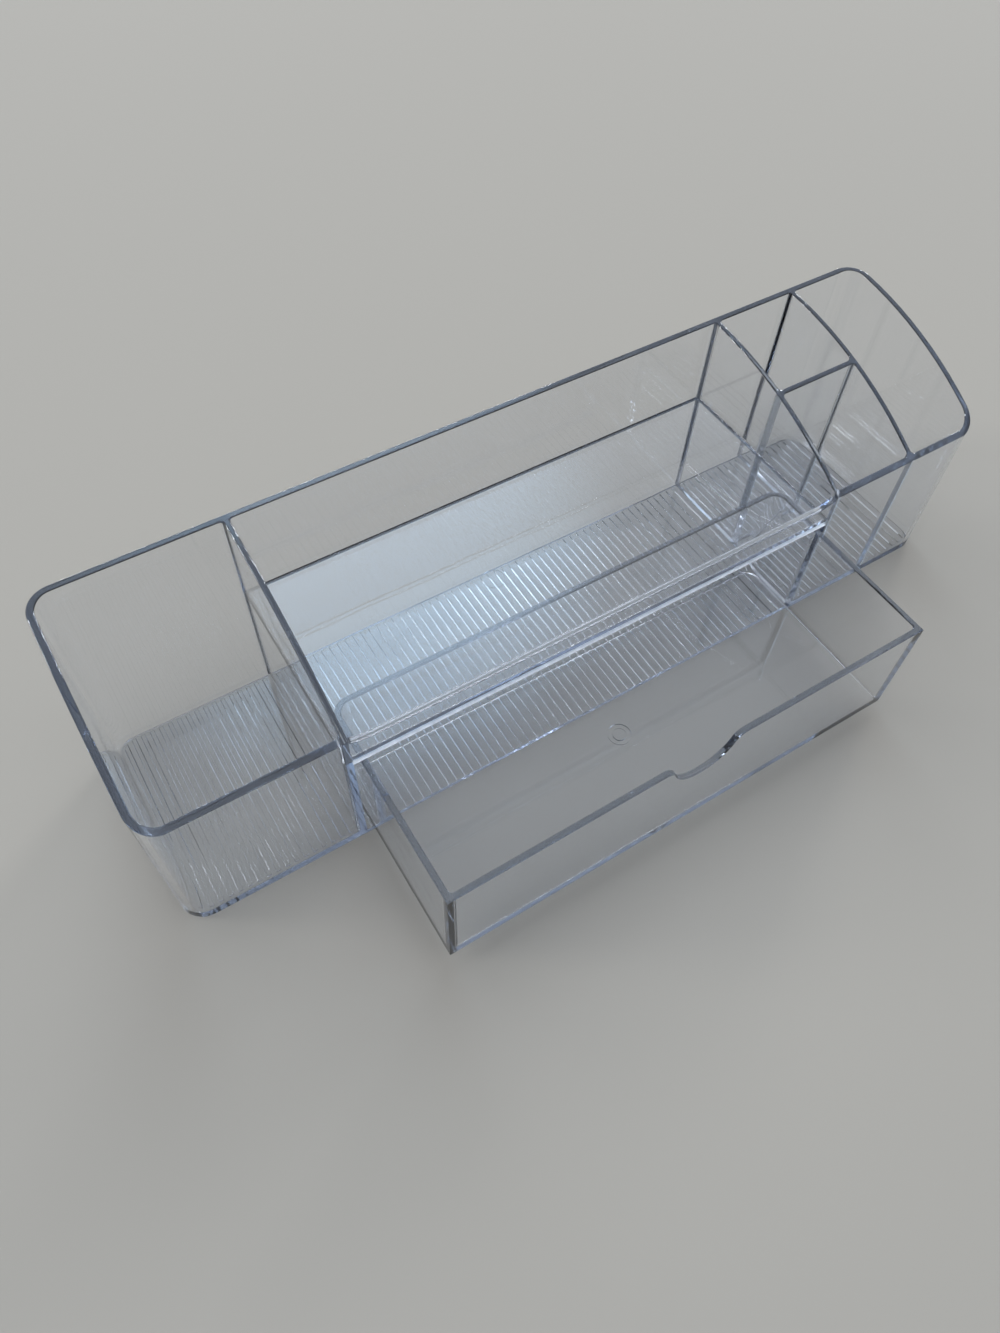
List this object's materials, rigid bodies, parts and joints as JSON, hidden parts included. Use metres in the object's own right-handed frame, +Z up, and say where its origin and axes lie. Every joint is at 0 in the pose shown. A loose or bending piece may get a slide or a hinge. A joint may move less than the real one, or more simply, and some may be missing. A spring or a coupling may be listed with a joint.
{
  "type": "desk organizer with drawer",
  "caption": "Clear moulded desk organizer: open bins, a raised tray behind a lip, a ribbed floor, and a drawer with a thumb notch that slides under the tray.",
  "frame": {"origin": "middle of the body's underside, on the surface that it stands on", "axes": "+X along the length towards the small bins, -Y out of the front where the drawer opens, +Z up"},
  "size_m": [0.3, 0.12, 0.08],
  "materials": {
    "clear_body": "clear, glossy",
    "clear_drawer": "clear, glossy"
  },
  "bodies": {
    "organizer": {"organizer_body": "clear_body"},
    "drawer": {"drawer": "clear_drawer"}
  },
  "joints": [
    {"name": "drawer_slide", "type": "slide", "parent": "organizer", "child": "drawer", "axis": [0, -1, 0], "range_m": [-0.048, 0.018]}
  ]
}
